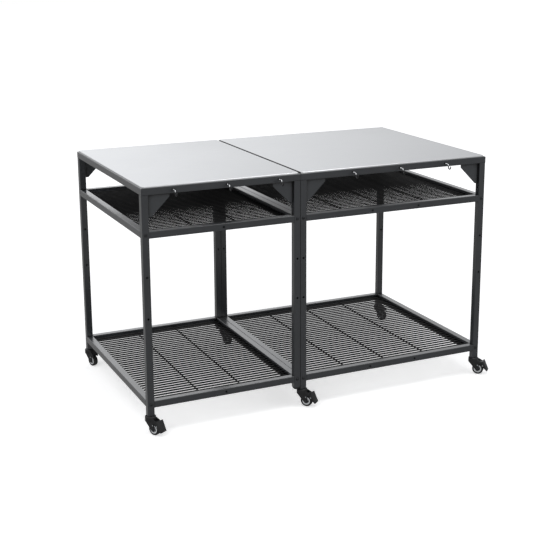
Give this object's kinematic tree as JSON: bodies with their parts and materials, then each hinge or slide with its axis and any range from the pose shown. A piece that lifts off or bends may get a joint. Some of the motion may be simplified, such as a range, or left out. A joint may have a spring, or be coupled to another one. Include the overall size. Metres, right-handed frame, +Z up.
{
  "type": "outdoor pizza oven table",
  "caption": "Outdoor cooking table of open steel-tube modules bolted side by side, with folded steel worktops, wire grille shelves, tool hooks and swivel casters with brakes in front.",
  "frame": {"origin": "on the floor, under the middle of the whole part's footprint, with the brake pedals and the tool hooks counted", "axes": "+X along the front from the narrow left module to the wide right one, +Y from the front with the hooks and the brake pedals to the back, +Z up"},
  "size_m": [1.4491, 0.8554, 0.9],
  "materials": {
    "frame_paint": "satin anthracite powder coat",
    "worktop_steel": "fine brushed stainless steel",
    "shelf_wire": "satin anthracite powder coat",
    "hook_chrome": "polished",
    "tyre": "matt",
    "hub": "satin",
    "caster_shell": "satin",
    "zinc_steel": "zinc plated",
    "bolt_steel": "black, satin",
    "plug_plastic": "satin"
  },
  "bodies": {
    "table": {"caster_sockets": "plug_plastic", "caster_stems": "zinc_steel", "left_gussets": "frame_paint", "left_leg_back_left": "frame_paint", "left_leg_back_right": "frame_paint", "left_leg_front_left": "frame_paint", "left_leg_front_right": "frame_paint", "left_lower_grille": "shelf_wire", "left_lower_shelf_frame": "frame_paint", "left_tool_hooks": "hook_chrome", "left_top_frame": "frame_paint", "left_upper_grille": "shelf_wire", "left_upper_shelf_frame": "frame_paint", "left_worktop": "worktop_steel", "leg_end_caps": "plug_plastic", "module_bolts": "bolt_steel", "right_gussets": "frame_paint", "right_leg_back_left": "frame_paint", "right_leg_back_right": "frame_paint", "right_leg_front_left": "frame_paint", "right_leg_front_right": "frame_paint", "right_lower_grille": "shelf_wire", "right_lower_shelf_frame": "frame_paint", "right_tool_hooks": "hook_chrome", "right_top_frame": "frame_paint", "right_upper_grille": "shelf_wire", "right_upper_shelf_frame": "frame_paint", "right_worktop": "worktop_steel", "shelf_bolts": "bolt_steel", "shelf_rail_inserts": "zinc_steel"},
    "fork_left_front": {"caster_left_front_fork": "caster_shell", "caster_left_front_axle": "zinc_steel"},
    "wheel_left_front": {"caster_left_front_tyre": "tyre", "caster_left_front_hub": "hub"},
    "brake_left_front": {"caster_left_front_brake_pedal": "caster_shell"},
    "fork_left_back": {"caster_left_back_fork": "caster_shell", "caster_left_back_axle": "zinc_steel"},
    "wheel_left_back": {"caster_left_back_tyre": "tyre", "caster_left_back_hub": "hub"},
    "fork_middle_front": {"caster_middle_front_fork": "caster_shell", "caster_middle_front_axle": "zinc_steel"},
    "wheel_middle_front": {"caster_middle_front_tyre": "tyre", "caster_middle_front_hub": "hub"},
    "brake_middle_front": {"caster_middle_front_brake_pedal": "caster_shell"},
    "fork_middle_back": {"caster_middle_back_fork": "caster_shell", "caster_middle_back_axle": "zinc_steel"},
    "wheel_middle_back": {"caster_middle_back_tyre": "tyre", "caster_middle_back_hub": "hub"},
    "fork_right_front": {"caster_right_front_fork": "caster_shell", "caster_right_front_axle": "zinc_steel"},
    "wheel_right_front": {"caster_right_front_tyre": "tyre", "caster_right_front_hub": "hub"},
    "brake_right_front": {"caster_right_front_brake_pedal": "caster_shell"},
    "fork_right_back": {"caster_right_back_fork": "caster_shell", "caster_right_back_axle": "zinc_steel"},
    "wheel_right_back": {"caster_right_back_tyre": "tyre", "caster_right_back_hub": "hub"}
  },
  "joints": [
    {"name": "swivel_left_front", "type": "hinge", "parent": "table", "child": "fork_left_front", "pos_m": [-0.7055, -0.3695, 0.06], "axis": [0, 0, 1], "continuous": true},
    {"name": "roll_left_front", "type": "hinge", "parent": "fork_left_front", "child": "wheel_left_front", "pos_m": [-0.6955, -0.38682, 0.0225], "axis": [0.866, 0.5, 0], "continuous": true},
    {"name": "brake_left_front", "type": "hinge", "parent": "fork_left_front", "child": "brake_left_front", "pos_m": [-0.6905, -0.39548, 0.05], "axis": [0.866, 0.5, 0], "range_deg": [0, 14]},
    {"name": "swivel_left_back", "type": "hinge", "parent": "table", "child": "fork_left_back", "pos_m": [-0.7055, 0.4055, 0.06], "axis": [0, 0, 1], "continuous": true},
    {"name": "roll_left_back", "type": "hinge", "parent": "fork_left_back", "child": "wheel_left_back", "pos_m": [-0.69866, 0.38671, 0.0225], "axis": [0.9397, 0.342, 0], "continuous": true},
    {"name": "swivel_middle_front", "type": "hinge", "parent": "table", "child": "fork_middle_front", "pos_m": [-0.1055, -0.3695, 0.06], "axis": [0, 0, 1], "continuous": true},
    {"name": "roll_middle_front", "type": "hinge", "parent": "fork_middle_front", "child": "wheel_middle_front", "pos_m": [-0.09212, -0.38436, 0.0225], "axis": [0.7431, 0.6691, 0], "continuous": true},
    {"name": "brake_middle_front", "type": "hinge", "parent": "fork_middle_front", "child": "brake_middle_front", "pos_m": [-0.08543, -0.39179, 0.05], "axis": [0.7431, 0.6691, 0], "range_deg": [0, 14]},
    {"name": "swivel_middle_back", "type": "hinge", "parent": "table", "child": "fork_middle_back", "pos_m": [-0.1055, 0.4055, 0.06], "axis": [0, 0, 1], "continuous": true},
    {"name": "roll_middle_back", "type": "hinge", "parent": "fork_middle_back", "child": "wheel_middle_back", "pos_m": [-0.09801, 0.38696, 0.0225], "axis": [0.9272, 0.3746, 0], "continuous": true},
    {"name": "swivel_right_front", "type": "hinge", "parent": "table", "child": "fork_right_front", "pos_m": [0.6695, -0.3695, 0.06], "axis": [0, 0, 1], "continuous": true},
    {"name": "roll_right_front", "type": "hinge", "parent": "fork_right_front", "child": "wheel_right_front", "pos_m": [0.68364, -0.38364, 0.0225], "axis": [0.7071, 0.7071, 0], "continuous": true},
    {"name": "brake_right_front", "type": "hinge", "parent": "fork_right_front", "child": "brake_right_front", "pos_m": [0.69071, -0.39071, 0.05], "axis": [0.7071, 0.7071, 0], "range_deg": [0, 14]},
    {"name": "swivel_right_back", "type": "hinge", "parent": "table", "child": "fork_right_back", "pos_m": [0.6695, 0.4055, 0.06], "axis": [0, 0, 1], "continuous": true},
    {"name": "roll_right_back", "type": "hinge", "parent": "fork_right_back", "child": "wheel_right_back", "pos_m": [0.67763, 0.38723, 0.0225], "axis": [0.9135, 0.4067, 0], "continuous": true}
  ]
}
